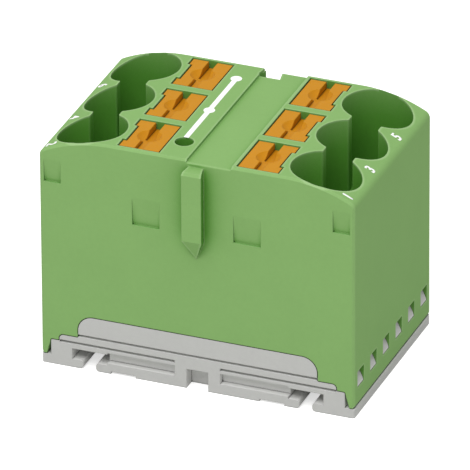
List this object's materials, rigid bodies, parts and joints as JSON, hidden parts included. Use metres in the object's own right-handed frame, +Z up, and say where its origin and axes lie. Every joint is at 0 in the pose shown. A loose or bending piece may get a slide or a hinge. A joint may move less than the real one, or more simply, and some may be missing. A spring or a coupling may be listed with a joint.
{
  "type": "power distribution block",
  "caption": "Push-in wire distribution block with release buttons over funnel entries, a joining rib and groove, and a snap-in base with T-channels.",
  "frame": {"origin": "centre of the underside of the base, midway between the long faces without the joining rib", "axes": "+X along the block, -Y out of the face with the joining rib, +Z up"},
  "size_m": [0.0476, 0.0325, 0.0366],
  "materials": {
    "housing": "moulded polyamide, fine satin",
    "base": "moulded polyamide, fine satin",
    "push_button": "moulded polyamide, fine satin",
    "current_bar": "tin-plated copper strip",
    "clamp_steel": "bent sheet steel",
    "spring_steel": "spring strip"
  },
  "bodies": {
    "block": {"housing": "housing", "base": "base", "current_bar": "current_bar", "clamp_cage_1": "clamp_steel", "clamp_cage_2": "clamp_steel", "clamp_cage_3": "clamp_steel", "clamp_cage_4": "clamp_steel", "clamp_cage_5": "clamp_steel", "clamp_cage_6": "clamp_steel", "clamp_spring_1": "spring_steel", "clamp_spring_2": "spring_steel", "clamp_spring_3": "spring_steel", "clamp_spring_4": "spring_steel", "clamp_spring_5": "spring_steel", "clamp_spring_6": "spring_steel"},
    "button_1": {"push_button_1": "push_button"},
    "button_2": {"push_button_2": "push_button"},
    "button_3": {"push_button_3": "push_button"},
    "button_4": {"push_button_4": "push_button"},
    "button_5": {"push_button_5": "push_button"},
    "button_6": {"push_button_6": "push_button"}
  },
  "joints": [
    {"name": "push_1", "type": "slide", "parent": "block", "child": "button_1", "axis": [0, 0, -1], "range_m": [0, 0.0024], "stiffness_N_per_m": 2500, "deforming": ["clamp_spring_1"]},
    {"name": "push_2", "type": "slide", "parent": "block", "child": "button_2", "axis": [0, 0, -1], "range_m": [0, 0.0024], "stiffness_N_per_m": 2500, "deforming": ["clamp_spring_2"]},
    {"name": "push_3", "type": "slide", "parent": "block", "child": "button_3", "axis": [0, 0, -1], "range_m": [0, 0.0024], "stiffness_N_per_m": 2500, "deforming": ["clamp_spring_3"]},
    {"name": "push_4", "type": "slide", "parent": "block", "child": "button_4", "axis": [0, 0, -1], "range_m": [0, 0.0024], "stiffness_N_per_m": 2500, "deforming": ["clamp_spring_4"]},
    {"name": "push_5", "type": "slide", "parent": "block", "child": "button_5", "axis": [0, 0, -1], "range_m": [0, 0.0024], "stiffness_N_per_m": 2500, "deforming": ["clamp_spring_5"]},
    {"name": "push_6", "type": "slide", "parent": "block", "child": "button_6", "axis": [0, 0, -1], "range_m": [0, 0.0024], "stiffness_N_per_m": 2500, "deforming": ["clamp_spring_6"]}
  ]
}
